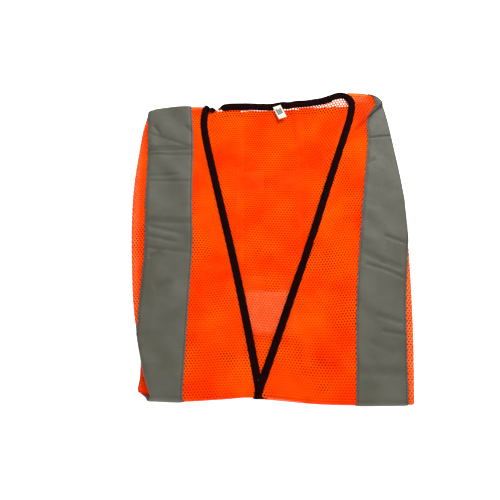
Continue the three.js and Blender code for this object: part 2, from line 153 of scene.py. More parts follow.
# Spots of painted shade in a front's holes, where it lies loose above the layers below it: (x, y, radius).
SHADED_HOLE_SPOTS = [(-46, -129, 5), (-39, -132, 5), (51, -136, 4.5), (35, -146, 4.5), (53, -161, 5), (62, -138, 4),
           (81, 125, 7), (85, 112, 5), (88, 50, 6)]

CARE_LABEL = (-24, -107, 28, -63)  # plan box: x and y of two corners
SIZE_LABEL = (9.3, 17.5)  # width and length
SIZE_LABEL_TILT = math.radians(22)
STRAP = 0.6  # thickness of the elastic


def stacked(*parts):
    """Vectors from their components, which may be arrays or single numbers."""
    return np.stack(np.broadcast_arrays(*parts), -1)


def smooth(low, high, value):
    """Rises smoothly from 0 at low to 1 at high."""
    t = np.clip((np.asarray(value, float) - low) / (high - low), 0, 1)
    return t * t * (3 - 2 * t)


def spline(points, steps=24):
    """Points along the Catmull-Rom curve through the given ones."""
    p = np.array([points[0], *points, points[-1]], float)
    t = np.linspace(0, 1, steps, endpoint=False)[:, None]
    parts = []
    for a, b, c, d in zip(p, p[1:], p[2:], p[3:]):
        bend = (2 * a - 5 * b + 4 * c - d) * t**2 + (3 * b - a - 3 * c + d) * t**3
        parts.append(0.5 * (2 * b + (c - a) * t + bend))
    return np.vstack([*parts, p[-1:]])


def y_at(points):
    """The plan curve's y as a function of x."""
    line = spline(points)
    line = line[np.argsort(line[:, 0])]
    return lambda x: np.interp(x, line[:, 0], line[:, 1] + PLAN_Y)


def x_at(points):
    """The plan curve's x as a function of y."""
    line = spline(points)
    line = line[np.argsort(line[:, 1])]
    return lambda y: np.interp(y, line[:, 1] + PLAN_Y, line[:, 0])


top_line, bottom_line = y_at(TOP_LINE), y_at(BOTTOM_LINE)
lower_left, lower_right = x_at(LOWER_LEFT_SIDE), x_at(LOWER_RIGHT_SIDE)
HEM_Y = HEM + PLAN_Y
NOSE = 0.9  # how far the bottom fold's round reaches, as a share of its height
NEST = 0.3  # how much the inner layers' rounds lie inside the outer ones


def hem_line(x):
    """Plan y of the folded lower half's end."""
    return HEM_Y + ASKEW * (x - ASKEW_FROM)


def base_line(x, level):
    """Where the cloth's round at the bottom fold starts."""
    return bottom_line(x) + NEST * (FRONT - level) + NOSE * level


def upper_v(x, y):
    """v of a place in the plan of the upper half."""
    base = base_line(x, FRONT)
    return UPPER * (1 - (y - base) / (top_line(x) - base))


def lower_v(x, y):
    """v of a place in the plan of the lower half."""
    base = base_line(x, FRONT)
    return UPPER + ROUND + LOWER * (y - base) / (HEM_Y - base)


def unfolded(points):
    """Flat x and v along a plan curve of the upper half."""
    x, y = spline(points).T
    return x, upper_v(x, y + PLAN_Y)


def along(upper, lower):
    """x as a function of v, from an upper half's plan curve and the lower half's."""
    x, v = unfolded(upper)
    low_x, low_y = spline(lower).T
    low_v = lower_v(low_x, low_y + PLAN_Y)
    in_upper, in_lower = v < UPPER, low_v > UPPER + ROUND
    all_x = np.concatenate([x[in_upper], low_x[in_lower]])
    all_v = np.concatenate([v[in_upper], low_v[in_lower]])
    order = np.argsort(all_v)
    return lambda at: np.interp(at, all_v[order], all_x[order])


left_side = along(LEFT_SIDE, LOWER_LEFT_SIDE)
right_side = along(RIGHT_SIDE, LOWER_RIGHT_SIDE)
left_flap = along(LEFT_FLAP, LOWER_LEFT_FLAP)
right_flap = along(RIGHT_FLAP, LOWER_RIGHT_FLAP)
left_edge = along(LEFT_NECK, LEFT_EDGE)
right_edge = along(RIGHT_NECK, RIGHT_EDGE)
left_tape = along(LEFT_TAPE, LOWER_LEFT_TAPE)
right_tape = along(RIGHT_TAPE, LOWER_RIGHT_TAPE)


# ---- folding

class Noise:
    """Smooth, seeded value noise over the plan."""

    def __init__(self, seed, cells=64):
        self.grid = np.random.RandomState(seed).uniform(-1, 1, (cells, cells))
        self.cells = cells

    def __call__(self, x, y):
        i, j = np.floor(x).astype(int), np.floor(y).astype(int)
        fx, fy = x - i, y - j
        fx, fy = fx * fx * (3 - 2 * fx), fy * fy * (3 - 2 * fy)
        at = lambda a, b: self.grid[(i + a) % self.cells, (j + b) % self.cells]
        low = at(0, 0) * (1 - fx) + at(1, 0) * fx
        high = at(0, 1) * (1 - fx) + at(1, 1) * fx
        return low * (1 - fy) + high * fy


broad, fine, pucker = Noise(SEED), Noise(SEED + 1), Noise(SEED + 2)


def beside(x, y, a, b):
    """How far along the plan line from a to b a point lies, how far beside it, and its length."""
    a, b = np.array(a, float), np.array(b, float)
    size = np.hypot(*(b - a))
    d = (b - a) / size
    y = y - PLAN_Y
    t = (x - a[0]) * d[0] + (y - a[1]) * d[1]
    off = (x - a[0]) * d[1] - (y - a[1]) * d[0]
    return t, off, size


def crease(x, y, a, b, height, width):
    """A soft ridge (or valley) along the plan line from a to b."""
    t, off, size = beside(x, y, a, b)
    fade = 0.25 * size
    ends = smooth(-fade, 0, t) * (1 - smooth(size - fade, size + fade, t))
    return height * np.exp(-((off / width) ** 2)) * ends


def pleat(x, y):
    """The cloth above the shoulder's fold line droops over the cloth below it."""
    t, off, size = beside(x, y, *PLEAT)
    ends = smooth(-6, 0, t) * (1 - smooth(0.45 * size, 1.15 * size, t))
    above = smooth(-1.2, 1.2, off) * np.exp(-np.maximum(off, 0) / 12)
    below = 0.5 * np.exp(-np.maximum(-off, 0) / 3) * smooth(0.3, 0.9, -off)
    return PLEAT_RISE * ends * (above - below)


def wrinkles(x, y):
    """Height of the wrinkles that all upper layers share."""
    h = 0.8 * broad(x / 70 + 5, y / 95 + 3) + 0.5 * fine(x / 26, y / 34)
    h += 0.55 * fine((0.8 * x + 0.6 * y) / 13, (0.8 * y - 0.6 * x) / 60 + 7)
    for line in CREASES:
        h += crease(x, y, *line)
    return h + pleat(x, y)


class Cloth:
    """One flat cloth: the level of its middle part as a function of x and v, the level of its side
    flaps, how far its side folds are set in, and the way it turns at the shoulder seam: 1 down, -1 up."""

    def __init__(self, middle, flap, inset, shoulder):
        self.middle, self.flap, self.inset, self.shoulder = middle, flap, inset, shoulder


def lap(x, v):
    """1 where the right front crosses the left one at the end of the V, else 0."""
    near = smooth(62, 22, np.abs(x + 10))
    return near * smooth(UPPER - 80, UPPER - 36, v)


def left_front_level(x, v):
    """The left front passes under the right one at the V's end, and stays there round the fold."""
    low = smooth(UPPER, UPPER + ROUND, v)
    under = smooth(-48, -22, x)
    lower = OUTER_FRONT * (1 - under) + (FRONT - LAP_DIP) * under
    return (FRONT - LAP_DIP * lap(x, v)) * (1 - low) + lower * low


def right_front_level(x, v):
    """The right front rises over the left one at the V's end."""
    low = smooth(UPPER, UPPER + ROUND, v)
    return (FRONT + LAP_RISE * lap(x, v)) * (1 - low) + OUTER_FRONT * low


def back_level(x, v):
    """The back sags between the side flaps below it, and dips where the fronts cross above it."""
    upper = 1 - smooth(UPPER, UPPER + ROUND, v)
    inside = np.minimum(x - left_flap(v), right_flap(v) - x)
    sag = BACK_SAG * smooth(2, 16, inside) * (1 - smooth(UPPER - 60, UPPER - 20, v)) * smooth(2, 24, v)
    return BACK - BACK_DIP * lap(x, v) * upper - sag


left_front = Cloth(left_front_level, FRONT_FLAP, 0, 1)
right_front = Cloth(right_front_level, FRONT_FLAP, 0, 1)
back = Cloth(back_level, BACK_FLAP, BACK_INSET, -1)
GROUND_GAP = 0.02  # nothing comes nearer to the ground than this
FOLD_GAP = 0.12  # only the bottom fold's round comes nearer to the fold plane than this
SIDE_PUFF = 1.0  # a side fold bulges this much more than a half circle
SEAM_ROUND = (FRONT - BACK) / 2  # radius of the cloths' turn over the shoulder seam
MOST_OVER = 0.6 * math.pi  # how far a cloth's edge may turn there
FAR_OUT = 200.0  # x of a flat place on the flaps, wherever the side folds are


def side_bend(cloth, x, v):
    """Where the cloth starts to turn under at the side, the bend's two half axes and its length."""
    fold_x = np.where(x < 0, -left_side(v), right_side(v)) - cloth.inset
    level = cloth.middle(x, v)
    half = (level - cloth.flap) / 2
    puff = half + SIDE_PUFF
    return fold_x - puff, half, puff, math.pi * np.sqrt((half**2 + puff**2) / 2)


def turn_sides(cloth, x, v, lift):
    """Plan x, level and height of points, with the cloth's sides turned under."""
    side = np.where(x < 0, -1.0, 1.0)
    start, half, puff, arc = side_bend(cloth, x, v)
    past = side * x - start
    turn = np.clip(past / arc, 0, 1) * math.pi
    out = start + np.where(past < 0, past, np.where(past < arc, puff * np.sin(turn), arc - past))
    level = cloth.middle(x, v) - half * (1 - np.cos(turn))
    return side * (out + lift * np.sin(turn)), level, level + lift * np.cos(turn)


def turn_bottom(x, v, level, lift, phase, forward):
    """Plan y of points, with the lower half turned under. forward adds to that of the upper half."""
    base = base_line(x, level)
    upper = base + (top_line(x) - base) * (1 - np.maximum(v, 0) / UPPER) + forward
    lower = base + (hem_line(x) - base) * (v - UPPER - ROUND) / LOWER
    bent = base - (NOSE * level + lift) * np.sin(phase)
    return np.where(v < UPPER, upper, np.where(v > UPPER + ROUND, lower, bent))


def wrinkled(x, y, z):
    """Heights with the wrinkles, which fade downwards and stop short of the fold plane."""
    share = np.clip(z / (FOLD_Z + FRONT), 0, 1.2) ** 2
    shift = share * wrinkles(x, y)
    room = 0.6 * np.maximum(np.abs(z - FOLD_Z) - FRONT_FLAP, 0)
    return z + np.where(z > FOLD_Z, np.maximum(shift, -room), np.minimum(shift, room))


def place(cloth, x, v, lift=0.0):
    """Folded positions of a cloth's flat points, lift above its upper face, in millimetres."""
    x, v = np.broadcast_arrays(np.asarray(x, float), np.asarray(v, float))
    folded_x, level, height = turn_sides(cloth, x, v, lift)
    over = np.clip(-v / SEAM_ROUND, 0, MOST_OVER)
    seam_radius = SEAM_ROUND + cloth.shoulder * lift
    height = height - cloth.shoulder * seam_radius * (1 - np.cos(over))
    phase = np.clip((v - UPPER) / ROUND, 0, 1) * math.pi
    y = turn_bottom(folded_x, v, level, lift, phase, seam_radius * np.sin(over))
    return stacked(folded_x, y, wrinkled(folded_x, y, FOLD_Z + height * np.cos(phase)))


def keep_half(points, v):
    """The points, with those of each half kept on its own side of the fold plane, above the ground."""
    z = np.where(v <= UPPER, np.maximum(points[..., 2], FOLD_Z + 2 * FOLD_GAP), points[..., 2])
    z = np.where(v >= UPPER + ROUND, np.minimum(z, FOLD_Z - 2 * FOLD_GAP), z)
    return stacked(points[..., 0], points[..., 1], np.maximum(z, GROUND_GAP))


def side_start(cloth, side, v):
    """Where one side (1 right, -1 left) starts to turn under, and the length of its bend."""
    start, _, _, arc = side_bend(cloth, np.full_like(v, side * FAR_OUT), v)
    return start, arc


def flap_end(cloth, side, folded_edge, v):
    """Flat x of a flap's edge that lies at folded_edge in plan."""
    start, arc = side_start(cloth, side, v)
    return side * (2 * start + arc - side * folded_edge(v))


# ---- meshes

def new_mesh(name, points, faces, material, **values):
    """A smooth mesh from points in millimetres. values are named numbers or vectors per point."""
    data = bpy.data.meshes.new(name)
    data.from_pydata((np.asarray(points) * MM).tolist(), [], [list(map(int, f)) for f in faces])
    data.polygons.foreach_set("use_smooth", [True] * len(data.polygons))
    for key, value in values.items():
        value = np.asarray(value, np.float32)
        kind, slot = ("FLOAT_VECTOR", "vector") if value.ndim == 2 else ("FLOAT", "value")
        data.attributes.new(key, kind, "POINT").data.foreach_set(slot, value.ravel())
    data.materials.append(material)
    data.update()
    piece = bpy.data.objects.new(name, data)
    bpy.context.scene.collection.objects.link(piece)
    return piece


def flat_values(x, v, height=0.0):
    """Flat coordinates of a piece's points, for the material."""
    return stacked(x, v, height).reshape(-1, 3)


def cell_centres(inside, x_range, v_range, axes, pitch):
    """Centres of a honeycomb's cells, turned by axes, in the ranges and inside the cloth."""
    reach = max(*np.abs(x_range), *np.abs(v_range)) * 1.1
    rows = np.arange(-reach, reach, pitch * math.sqrt(3) / 2)
    cx, cv = np.meshgrid(np.arange(-reach, reach, pitch), rows)
    cx = cx + (np.arange(len(rows)) % 2)[:, None] * pitch / 2
    centres = stacked(cx.ravel(), cv.ravel()) @ axes
    x, v = centres.T
    low, high = v_range[0] + HOLE, v_range[1] - HOLE
    centres = centres[(x > x_range[0]) & (x < x_range[1]) & (v > low) & (v < high)]
    return centres[inside(*centres.T)]


def net(inside, x_range, v_range, skew=0.0, stretch=1.0):
    """Flat points, lifts and faces of a mesh with one round hole in each cell of a honeycomb."""
    pitch = PITCH * stretch
    c, s = math.cos(math.radians(skew)), math.sin(math.radians(skew))
    axes = np.array([[c, s], [-s, c]])
    centres = cell_centres(inside, x_range, v_range, axes, pitch)[:, None]
    angles = np.radians(30 + 60 * np.arange(6))
    ring = stacked(np.cos(angles), np.sin(angles)) @ axes
    outer = (centres + ring * pitch / math.sqrt(3)).reshape(-1, 2)
    rims = (centres + ring * HOLE).reshape(-1, 2)
    keys = np.round((outer @ axes.T) / (pitch / 12)).astype(int)  # equal where two cells share a corner
    _, first, index = np.unique(keys, axis=0, return_index=True, return_inverse=True)
    index = index.reshape(-1, 6)
    shared = outer[first]
    shared[:, 1] = np.clip(shared[:, 1], *v_range)
    rim_index = len(shared) + np.arange(len(rims)).reshape(-1, 6)
    lifts = np.concatenate([np.zeros(len(shared)), np.full(len(rims), -RELIEF)])
    after = np.roll(np.arange(6), -1)
    faces = stacked(index, index[:, after], rim_index[:, after], rim_index).reshape(-1, 4)
    return np.vstack([shared, rims]), lifts, faces


def grid_faces(rows, columns, offset=0, closed=False):
    """Quads of a grid of points stored row by row."""
    i, j = np.meshgrid(np.arange(rows - 1), np.arange(columns if closed else columns - 1), indexing="ij")
    n = (j + 1) % columns
    quads = stacked(i * columns + j, (i + 1) * columns + j, (i + 1) * columns + n, i * columns + n)
    return quads.reshape(-1, 4) + offset


def joined(parts):
    """Points, lifts and faces of several parts as one."""
    points, lifts, faces, count = [], [], [], 0
    for p, l, f in parts:
        points.append(p)
        lifts.append(np.broadcast_to(l, len(p)))
        faces.append(f + count)
        count += len(p)
    return np.vstack(points), np.concatenate(lifts), np.vstack(faces)


def plain(from_x, to_x, v, steps, lift=-0.3):
    """Cloth without its holes, where other layers hide it, between two lines given as x for each v."""
    t = np.linspace(0, 1, steps)
    x = from_x[:, None] * (1 - t) + to_x[:, None] * t
    flat = stacked(x, v[:, None]).reshape(-1, 2)
    return flat, lift, grid_faces(len(v), steps)


def flap_part(cloth, side, folded_edge, v):
    """A hidden side flap, from a little inside the side bend's end to its edge."""
    start, arc = side_start(cloth, side, v)
    return plain(side * (start + arc - 3), flap_end(cloth, side, folded_edge, v), v, 16)


def paleness(points, over_label):
    """Painted light: how much paler the cloth is made, from 0 to about 1, where only white ground or a label
    is below.
    """
    x, y, z = points.T
    pale = np.maximum(0.75 * smooth(0, 7, lower_left(y) - x), 0.9 * smooth(-7, 0, x - lower_right(y)))
    pale = np.maximum(pale, 0.8 * smooth(2, 9, y - hem_line(x)) * smooth(118, 108, x))
    if over_label:
        x0, y0, x1, y1 = CARE_LABEL
        box = smooth(-2, 3, np.minimum(x - x0, x1 - x)) * smooth(-2, 3, np.minimum(y - y0, y1 - y))
        pale = np.maximum(pale, 0.5 * box)
    return pale * (z > FOLD_Z) * (1 + 0.35 * fine(x / 3.1, y / 3.7))


def cloth_shade(x, y):
    """How much painted shade, darker and redder, the cloth has beside the shoulder's pleat, from 0 to 1."""
    t, off, size = beside(x, y, *PLEAT)
    return np.exp(-((off / 2.0) ** 2)) * smooth(0, 14, t) * (1 - smooth(0.9 * size, 1.35 * size, t))


def hollowness(x, y):
    """How much painted shade the holes have at a place in plan, from 0 to 1."""
    spots = sum(np.exp(-(((x - a) ** 2 + (y - PLAN_Y - b) ** 2) / size**2)) for a, b, size in SHADED_HOLE_SPOTS)
    return np.clip(spots, 0, 1)


def cloth_piece(name, cloth, parts, over_label=False):
    """A cloth from its flat parts, with what its material has to know of each point."""
    flat, lifts, faces = joined(parts)
    points = place(cloth, flat[:, 0], flat[:, 1], lifts)
    x, y, z = points.T
    upper = z > FOLD_Z
    # the attributes after flat carry painted shade and painted light for the material
    return new_mesh(name, points, faces, orange, flat=flat_values(*flat.T),
                    rim=np.clip(-lifts / RELIEF, 0, 1), shade=cloth_shade(x, y) * upper,
                    pale=paleness(points, over_label), hollow=hollowness(x, y) * upper)


def shell(top, bottom, rows, columns):
    """Points and faces of a thin closed sheet from its two faces, each a grid of points."""
    points = np.vstack([top.reshape(-1, 3), bottom.reshape(-1, 3)])
    faces = [grid_faces(rows, columns), grid_faces(rows, columns, rows * columns)[:, ::-1]]
    ring = np.concatenate([np.arange(columns), np.arange(1, rows) * columns + columns - 1,
                           (rows - 1) * columns + np.arange(columns - 2, -1, -1),
                           np.arange(rows - 2, 0, -1) * columns])
    after = np.roll(ring, -1)
    faces.append(stacked(ring, after, after + rows * columns, ring + rows * columns))
    return points, np.vstack(faces)


def unit(vectors):
    """The vectors with a length of 1."""
    return vectors / np.maximum(np.linalg.norm(vectors, axis=-1, keepdims=True), 1e-9)


def directions(cloth, x, v, lift=0.0):
    """Points of a path on a cloth with its tangent, normal and sideways directions."""
    centre = place(cloth, x, v, lift)
    tangent = unit(np.gradient(centre, axis=0))
    step = 0.5
    across = place(cloth, x + step, v) - place(cloth, x - step, v)
    down = place(cloth, x, v + step) - place(cloth, x, v - step)
    normal = unit(np.cross(down, across))
    sideways = unit(np.cross(normal, tangent))
    return centre, tangent, normal, sideways


# ---- trims

def binding_section(width, thickness, count=18):
    """Section of a folded binding: flat, with round edges, as (sideways, up) in millimetres."""
    angle = np.linspace(0, 2 * math.pi, count, endpoint=False)
    c, s = np.cos(angle), np.sin(angle)
    sideways = np.sign(c) * np.abs(c) ** 0.6 * width / 2
    groove = 1 - 0.3 * np.exp(-(((np.abs(sideways) - 0.3 * width) / 0.6) ** 2))
    return sideways, np.sign(s) * np.abs(s) ** 0.75 * groove * thickness / 2


def lengthwise(centre):
    """How far along a path each of its points lies."""
    return np.concatenate([[0], np.cumsum(np.linalg.norm(np.diff(centre, axis=0), axis=1))])


def binding(name, cloth, x, v, material, width=BINDING_WIDTH, thickness=BINDING, lift=0.0, taper=0.0):
    """Binding swept along the path x, v of a cloth. Its first stretch may narrow to a point."""
    centre, _, normal, sideways = directions(cloth, x, v, lift)
    run = lengthwise(centre)
    across, up = binding_section(width, thickness)
    swell = 1 + 0.12 * pucker(run / 6, np.full(len(x), 3.5))
    full = smooth(-0.5, max(taper, 0.1), run) if taper else np.ones(len(x))
    points = (centre[:, None] + (sideways * full[:, None])[:, None] * across[None, :, None]
              + (normal * (swell * np.sqrt(full))[:, None])[:, None] * up[None, :, None])
    points = keep_half(points, v[:, None])
    faces = grid_faces(len(x), len(across), closed=True).tolist()
    faces.append(list(range(len(across))))
    faces.append([(len(x) - 1) * len(across) + i for i in reversed(range(len(across)))])
    flat = flat_values(np.broadcast_to(across, points.shape[:2]), run[:, None])
    return new_mesh(name, points.reshape(-1, 3), faces, material, flat=flat)


def stitch_faces():
    """Faces of one stitch: a tip, two rings of six points and the other tip."""
    i, j = np.arange(6), (np.arange(6) + 1) % 6
    middle = [stacked(1 + i, 1 + j, 7 + j), stacked(1 + i, 7 + j, 7 + i)]
    return np.vstack([stacked(0, 1 + j, 1 + i), *middle, stacked(13, 7 + i, 7 + j)])


def stitch_row(cloth, x, v, lift):
    """One row of stitches along the path: points and faces of a short rounded thread for each."""
    path = directions(cloth, x, v, lift)
    run = lengthwise(path[0])
    at = np.arange(STITCH / 2, run[-1], STITCH)
    c, t, n, s = (stacked(*(np.interp(at, run, each[:, i]) for i in range(3))) for each in path)
    angle = np.radians(60 * np.arange(6))
    ring = np.cos(angle)[:, None, None] * s * THREAD / 2 + np.sin(angle)[:, None, None] * n * THREAD / 2
    tips = [c - 0.42 * STITCH * t - 0.25 * n, c + 0.42 * STITCH * t - 0.25 * n]
    rings = [ring + c - 0.22 * STITCH * t, ring + c + 0.22 * STITCH * t]
    points = np.concatenate([tips[0][None], *rings, tips[1][None]]).transpose(1, 0, 2)
    points = keep_half(points, np.interp(at, run, v)[:, None])
    faces = (stitch_faces()[None] + 14 * np.arange(len(at))[:, None, None]).reshape(-1, 3)
    return points.reshape(-1, 3), 0.0, faces


def stitches(name, rows, material):
    """All stitches of some rows as one piece."""
    points, _, faces = joined([stitch_row(*row) for row in rows])
    return new_mesh(name, points, faces, material)


def tape_shade(x, y, creases):
    """How much painted shade a tape has in its creases and under the shoulder's pleat, from 0 to 1."""
    t, off, size = beside(x, y, *PLEAT)
    line = np.exp(-((off / 0.7) ** 2)) * smooth(-3, 0, t) * (1 - smooth(size, size + 3, t))
    depths = sum((np.maximum(-crease(x, y, *each), 0) for each in creases), np.zeros_like(x))
    return np.clip(line + 0.6 * depths, 0, 1)


TAPE_SEAMS = (0.045, 0.955)  # the rows of stitches, as shares of the tape's width


def tape_lift(x, y, u, v, creases, shift):
    """Lift of a tape above its cloth: sewn edges gather it into small cross ridges."""
    ridges = pucker(u * 0.6 + shift, v / 7.5) * 0.5 + pucker(u * 1.7 + shift, v / 17 + 9) * 0.6
    gather = pucker(u * 3 + shift, v / 4.2) * np.exp(-((np.minimum(u, 1 - u) / 0.07) ** 2))
    edges = 0.4 + 0.6 * smooth(0.0, 0.09, np.minimum(u, 1 - u))
    lift = 0.75 + 0.42 * ridges * (0.5 + 0.5 * np.abs(2 * u - 1) ** 2) + 0.3 * gather
    for line in creases:
        lift = lift + TAPE_CREASE * crease(x, y, *line)
    slack = 1 - 0.75 * smooth(UPPER, UPPER + ROUND, v)
    return np.maximum(lift * slack * edges, 0.08)


def tape_grid(inner_edge, side, v_range, shift):
    """Flat x, share of the width and v of a tape's points. Its edges are a little uneven."""
    v = np.concatenate([np.linspace(v_range[0], 3, 12)[:-1], np.linspace(3, 60, 100)[:-1],
                        np.linspace(60, v_range[1], 400)])
    u, v = np.meshgrid(np.linspace(0, 1, 56), v)
    uneven = 0.45 * pucker(v / 1.9, 7 * u + shift) * (1 - smooth(0.0, 0.09, np.minimum(u, 1 - u)))
    return inner_edge(v[:, 0])[:, None] + side * TAPE_WIDTH * u + uneven, u, v


def tape_height(cloth, x, u, v, plan, creases, shift):
    """Height of a tape's outer face above its cloth: grooved at its seams, pressed flat on the flaps."""
    lift = tape_lift(plan[..., 0], plan[..., 1], u, v, creases, shift)
    groove = sum(0.25 * np.exp(-(((u - at) / 0.014) ** 2)) for at in TAPE_SEAMS)
    start, _, _, arc = side_bend(cloth, x, v)
    pressed = smooth(0.3, 0.8, (np.abs(x) - start) / arc)
    return np.maximum(lift * (1 - pressed) + 0.1 * pressed + TAPE - groove, 0.2)


def tape(name, cloth, inner_edge, side, outer_face, v_range, creases):
    """A tape sewn to the outer face (1 above, -1 below) of a cloth, and its two rows of stitches."""
    shift = 3 * side + 11 * outer_face
    x, u, v = tape_grid(inner_edge, side, v_range, shift)
    plan = place(cloth, x, v)
    outer = tape_height(cloth, x, u, v, plan, creases, shift)
    top = keep_half(place(cloth, x, v, outer_face * outer), v)
    bottom = keep_half(place(cloth, x, v, outer_face * 0.06), v)
    points, faces = shell(top, bottom, *u.shape)
    faces = faces if side * outer_face > 0 else faces[:, ::-1]
    shade = tape_shade(plan[..., 0], plan[..., 1], creases).ravel() * (plan[..., 2].ravel() > FOLD_Z)
    flat = np.tile(flat_values(TAPE_WIDTH * u, v), (2, 1))
    piece = new_mesh(name, points, faces, silver, flat=flat, shade=np.tile(shade, 2))
    columns = [int(round(share * (u.shape[1] - 1))) for share in TAPE_SEAMS]
    rows = [(cloth, x[:, i], v[:, 0], outer_face * (outer[:, i] + 0.02)) for i in columns]
    return piece, stitches(name + "_stitches", rows, grey_thread)


def label(name, centre_points, material, thickness=0.25):
    """A thin closed sheet over a grid of points."""
    rows, columns = centre_points.shape[:2]
    across = np.gradient(centre_points, axis=1)
    down = np.gradient(centre_points, axis=0)
    normal = unit(np.cross(down, across)) * thickness / 2
    points, faces = shell(centre_points + normal, centre_points - normal, rows, columns)
    flat = np.repeat(centre_points[None], 2, 0).reshape(-1, 3)
    return new_mesh(name, points, faces, material, flat=flat)


def bars(name, surface, boxes, material, height=0.03):
    """Printed bars on a label: thin strips over boxes (a0, a1, b0, b1) of its surface's coordinates."""
    parts = []
    for a0, a1, b0, b1 in boxes:
        a, b = np.meshgrid(np.linspace(a0, a1, 6), np.linspace(b0, b1, 3))
        parts.append((surface(a, b, height).reshape(-1, 3), 0.0, grid_faces(3, 6)))
    points, _, faces = joined(parts)
    return new_mesh(name, points, faces, material)


def band(name, path_xz, y_range, thickness, material):
    """An elastic band: a path in x and z, swept along y, with thickness."""
    x, z = path_xz.T
    dx, dz = np.gradient(x), np.gradient(z)
    size = np.hypot(dx, dz)
    normal = stacked(-dz / size, 0.0, dx / size) * thickness / 2
    y = np.linspace(*y_range, 12)
    centre = stacked(x[:, None], y, z[:, None])
    points, faces = shell(centre + normal[:, None], centre - normal[:, None], len(x), len(y))
    flat = np.repeat(centre[None], 2, 0).reshape(-1, 3)
    return new_mesh(name, points, faces[:, ::-1], material, flat=flat)


# ---- materials

class Recipe:
    """A material whose nodes are added one by one. An input given as a node's output is linked."""

    def __init__(self, name, roughness, specular=0.5):
        self.material = bpy.data.materials.new(name)
        self.material.use_nodes = True
        self.tree = self.material.node_tree
        self.shader = self.tree.nodes["Principled BSDF"]
        self.fill(self.shader, {"Roughness": roughness, "Specular IOR Level": specular})

    def fill(self, node, inputs):
        """Sets a node's inputs, by name or number."""
        for key, value in inputs.items():
            socket = node.inputs[key]
            if isinstance(value, bpy.types.NodeSocket):
                self.tree.links.new(value, socket)
            else:
                socket.default_value = value

    def add(self, kind, inputs=(), **settings):
        node = self.tree.nodes.new("ShaderNode" + kind)
        for key, value in settings.items():
            setattr(node, key, value)
        self.fill(node, dict(inputs))
        return node

    def value(self, name):
        """A number that the mesh holds for each point."""
        return self.add("Attribute", attribute_name=name).outputs["Fac"]

    def flat(self, scale=(1, 1, 1), turn=0.0):
        """The cloth's own flat coordinates, in millimetres, scaled and turned."""
        source = self.add("Attribute", attribute_name="flat").outputs["Vector"]
        inputs = {"Vector": source, "Scale": scale, "Rotation": (0, 0, math.radians(turn))}
        return self.add("Mapping", inputs).outputs["Vector"]

    def noise(self, vector, scale, detail=2.0):
        return self.add("TexNoise", {"Vector": vector, "Scale": scale, "Detail": detail}).outputs["Fac"]

    def wave(self, vector, scale, direction):
        inputs = {"Vector": vector, "Scale": scale}
        return self.add("TexWave", inputs, bands_direction=direction).outputs["Fac"]

    def math(self, operation, a, b):
        return self.add("Math", {0: a, 1: b}, operation=operation).outputs[0]

    def times(self, a, b):
        return self.math("MULTIPLY", a, b)

    def plus(self, a, b):
        return self.math("ADD", a, b)

    def mix(self, factor, a, b):
        node = self.add("Mix", {"Factor": factor}, data_type="RGBA")
        self.fill(node, {6: a, 7: b})
        return node.outputs[2]

    def span(self, value, low, high, to_low=0.0, to_high=1.0):
        """The value with its range from low to high mapped to the range from to_low to to_high."""
        inputs = {"Value": value, 1: low, 2: high, 3: to_low, 4: to_high}
        return self.add("MapRange", inputs).outputs["Result"]

    def finish(self, colour, height, depth_mm, roughness=None):
        """The finished material, with height as its relief, depth_mm deep."""
        bump = self.add("Bump", {"Height": height, "Strength": 1.0, "Distance": depth_mm * MM})
        self.fill(self.shader, {"Base Color": colour, "Normal": bump.outputs["Normal"]})
        if roughness is not None:
            self.fill(self.shader, {"Roughness": roughness})
        return self.material


def rgb(r, g, b):
    """An opaque colour."""
    return (r, g, b, 1.0)


def mesh_cloth():
    """Knitted fluorescent mesh: loops along the strands, painted shade in its holes, paler over white by
    painted light.
    """
    r = Recipe("orange_mesh", 0.85, 0.0)
    flat = r.flat()
    tone = r.span(r.noise(flat, 0.022, 3.0), 0.36, 0.66)
    base = r.mix(tone, rgb(1.0, 0.056, 0.0010), rgb(1.0, 0.138, 0.0016))
    # painted light: the strands are paler where white ground or a label lies below
    base = r.mix(r.value("pale"), base, rgb(0.96, 0.25, 0.06))
    # painted shade: the strands darken towards the holes' rims, more so in broad patches
    patch = r.span(r.noise(flat, 0.05, 1.0), 0.5, 0.68, 0.85, 1.0)
    rim = r.math("POWER", r.value("rim"), 0.9)
    base = r.mix(r.times(rim, patch), base, rgb(0.78, 0.006, 0.0001))
    # painted shade: the holes' rims are darker still at the listed spots
    dark = r.times(r.math("POWER", r.value("rim"), 2.5), r.value("hollow"))
    base = r.mix(r.times(dark, 0.95), base, rgb(0.30, 0.0015, 0.0001))
    # painted shade beside the shoulder's pleat
    base = r.mix(r.times(r.value("shade"), 0.8), base, rgb(0.7, 0.012, 0.0001))
    loops = r.times(r.wave(flat, 0.55, "X"), r.wave(flat, 0.42, "Y"))
    fibres = r.noise(r.flat((3, 1.2, 1), 30), 3.2, 2.0)
    base = r.mix(r.times(fibres, 0.2), base, rgb(0.8, 0.02, 0.0002))
    return r.finish(base, r.plus(loops, r.times(fibres, 0.6)), 0.16,
                    r.span(fibres, 0.3, 0.7, 0.78, 0.92))


def reflective():
    """Grey retroreflective tape: tiny glass beads on a fine plain weave, a little worn and soiled, with
    painted shade in its creases and under the shoulder's pleat.
    """
    r = Recipe("reflective_tape", 0.55, 0.2)
    flat = r.flat()
    soil = r.span(r.noise(flat, 0.035, 4.0), 0.32, 0.7)
    base = r.mix(soil, rgb(0.062, 0.0590, 0.042), rgb(0.084, 0.0850, 0.066))
    beads = r.noise(flat, 7.0, 1.0)
    base = r.mix(r.times(beads, 0.3), base, rgb(0.038, 0.035, 0.027))
    # painted shade in the tape's creases and under the shoulder's pleat
    base = r.mix(r.times(r.value("shade"), 0.75), base, rgb(0.018, 0.016, 0.012))
    weave = r.plus(r.wave(flat, 0.62, "X"), r.wave(flat, 0.62, "Y"))
    height = r.plus(r.times(weave, 0.35), beads)
    return r.finish(base, height, 0.05, r.span(r.noise(flat, 0.4, 3.0), 0.3, 0.7, 0.46, 0.64))


